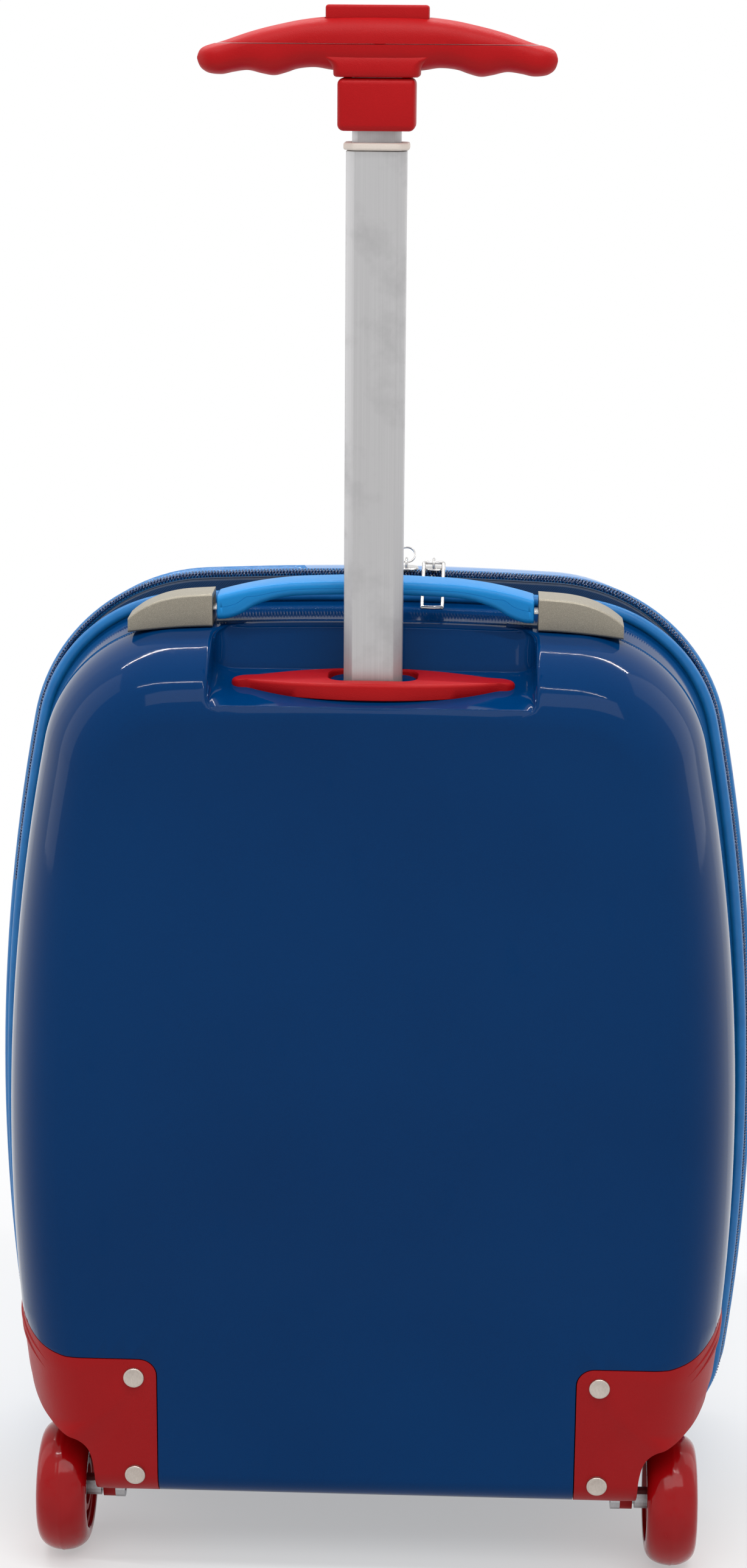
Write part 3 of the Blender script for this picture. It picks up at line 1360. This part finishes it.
def slider(x, word):
    """A plate over the zip and one under it, joined through the split, with an eye on top."""
    tape_z = seam_height(x)
    top_low = tape_z + TAPE_THICKNESS / 2 + 2 * COIL_RADIUS + 2 * GAP
    under_high = tape_z - TAPE_THICKNESS / 2 - GAP
    half_l, half_w, under_w = SLIDER_LENGTH / 2, SLIDER_WIDTH / 2, SLIDER_UNDER_WIDTH / 2
    made = box(
        "zip_slider_" + word,
        (x - half_l, SEAM_Y - half_w, top_low),
        (x + half_l, SEAM_Y + half_w, top_low + SLIDER_PLATE),
        BRIGHT_METAL,
        bevel=0.4 * MM,
        segments=1,
    )
    lower = box(
        "slider_under_" + word,
        (x - half_l + 0.2 * MM, SEAM_Y - under_w, under_high - SLIDER_PLATE),
        (x + half_l - 0.2 * MM, SEAM_Y + under_w, under_high),
    )
    bridge_half = SEAM_SPLIT / 2 - GAP
    bridge = box(
        "slider_bridge_" + word,
        (x - 1.5 * MM, SEAM_Y - bridge_half, under_high - SLIDER_PLATE / 2),
        (x + 1.5 * MM, SEAM_Y + bridge_half, top_low + SLIDER_PLATE / 2),
    )
    bail_z = top_low + SLIDER_PLATE - 0.3 * MM
    bail = box(
        "slider_bail_" + word,
        (x - 1.0 * MM, SEAM_Y - 4.1 * MM, bail_z),
        (x + 1.0 * MM, SEAM_Y + 4.1 * MM, bail_z + 4.3 * MM),
    )
    eye = box(
        "bail_eye_" + word,
        (x - 3.0 * MM, SEAM_Y - 3.0 * MM, bail_z + 0.35 * MM),
        (x + 3.0 * MM, SEAM_Y + 3.0 * MM, bail_z + 3.4 * MM),
    )
    boolean(bail, as_cutter(eye))
    for other in (lower, bridge, applied(bail)):
        boolean(made, as_cutter(other), "UNION")
    with_origin(applied(made), (0, SEAM_Y, SEAM_TOP_Z - TOP_RADIUS))
    return bail_z + 2.3 * MM


def zip_sliders():
    """Two sliders: one with a split ring, leaning to the lid, and one with a long open pull."""
    x = SLIDER_X[0]
    z = slider(x, "left")
    lean = math.radians(RING_SLOPE)
    path = []
    for i in range(14):
        angle = 2 * math.pi * i / 14
        along = RING_RADIUS * (1 - math.cos(angle))
        y = SEAM_Y + along * math.cos(lean)
        path.append((x + RING_RADIUS * math.sin(angle), y, z + along * math.sin(lean)))
    with_origin(applied(tube_along("zip_ring", path, RING_WIRE, BRIGHT_METAL, True, 1)), (x, SEAM_Y, z))
    x = SLIDER_X[1]
    z = slider(x, "right")
    half = PULL_WIDTH / 2
    path = []
    left = [(-half, along) for along in (0.0, PULL_BEND, 1.0)]
    right = [(-px, along) for px, along in reversed(left)]
    for px, along in left + right:
        drop = PULL_DROP * max(0.0, along - PULL_BEND * 0.5) / (1.0 - PULL_BEND * 0.5)
        path.append((x + px, SEAM_Y - along * PULL_REACH, z - drop))
    with_origin(applied(tube_along("zip_pull", path, PULL_WIRE, BRIGHT_METAL, True, 1)), (x, SEAM_Y, z))


# Front feet, lining and strap


def front_feet():
    for side, word in ((-1, "left"), (1, "right")):
        foot = cylinder(
            "front_foot_" + word,
            (side * FOOT_X, FOOT_Y, 0),
            (side * FOOT_X, FOOT_Y, BOTTOM_Z + SHELL_INSET + 20 * MM),
            FOOT_RADIUS * 0.86,
            BLACK,
            28,
            FOOT_RADIUS * 1.2,
        )
        bed = loft("foot_bed_" + word, lid_rings(-GAP))
        boolean(foot, as_cutter(bed))
        smooth(with_origin(applied(foot), (LID_AXIS_X, SEAM_Y, 0)))


def linings():
    """Thin cloth inside each shell, cut away round the recess, the pole cover and the pockets."""
    offset = SHELL_WALL + 2 * GAP
    for word, rings in (("rear", rear_rings), ("lid", lid_rings)):
        outer = rings(offset)
        inner = rings(offset + LINING_THICKNESS, reach=20 * MM)
        cloth = loft(word + "_lining", outer, LINING)
        hollow = loft(word + "_lining_hollow", inner)
        boolean(cloth, as_cutter(hollow))
        toward = 1 if word == "rear" else -1
        rim = REAR_RIM_Y if word == "rear" else LID_RIM_Y
        ends = (rim - toward * LINING_RIM_SETBACK, rim + toward * 40 * MM)
        trim = box(word + "_lining_trim", (-0.3, min(ends), -0.1), (0.3, max(ends), 0.6))
        boolean(cloth, as_cutter(trim))
        if word == "rear":
            boolean(cloth, recess_box("lining_recess", SHELL_WALL + 2 * GAP))
            for side, hand in ((-1, "left"), (1, "right")):
                boolean(cloth, wheel_pocket("lining_pocket_" + hand, side, SHELL_WALL + 4 * GAP))
                rivet_cuts(cloth, side, hand, RIVET_TAIL_RADIUS + 2 * GAP, 0.0, 14 * MM)
            applied(cloth)
        else:
            with_origin(applied(cloth), (LID_AXIS_X, SEAM_Y, 0))


def packing_strap():
    """One elastic band across the rear half, lying over the pole cover."""
    half_width = HOUSING_SIZE[0] / 2
    cover_x = half_width + COVER_MARGIN + COVER_WALL + 2 * GAP
    cover_y = HOUSING_SIZE[1] / 2 + COVER_MARGIN + COVER_WALL + GAP + STRAP_THICKNESS / 2
    lining_y = BACK_Y + SHELL_WALL + GAP + LINING_THICKNESS + GAP
    floor_y = lining_y + COVER_WALL + GAP + STRAP_THICKNESS / 2
    slope = (-STRAP_END_X + STRAP_SLOPE_X, floor_y + STRAP_SLOPE_RISE)
    stations = [(-STRAP_END_X, floor_y), slope, (-cover_x, cover_y)]
    stations += [(0.0, cover_y)]
    stations += [(-x, y) for x, y in reversed(stations[:-1])]
    bm = bmesh.new()
    rows = []
    for x, y in stations:
        rows.append(
            [
                bm.verts.new((x, y, STRAP_Z - STRAP_WIDTH / 2)),
                bm.verts.new((x, y, STRAP_Z + STRAP_WIDTH / 2)),
            ]
        )
    for row, following in zip(rows, rows[1:]):
        bm.faces.new((row[0], following[0], following[1], row[1]))
    strap = add_bmesh("packing_strap", bm, BLACK)
    thick = strap.modifiers.new("thickness", "SOLIDIFY")
    thick.thickness = STRAP_THICKNESS
    thick.offset = 0.0
    thick.use_even_offset = True


rear_shell()
pull_pole()
pole_seat()
t_grip()
button_spring()
bezel()
carry_handle()
for hand_side, hand_word in ((-1, "left"), (1, "right")):
    wheel_housing(hand_side, hand_word)
    rivets(hand_side, hand_word)
    wheel(hand_side, hand_word)
zip_and_welts()
lid()
zip_sliders()
front_feet()
linings()
packing_strap()
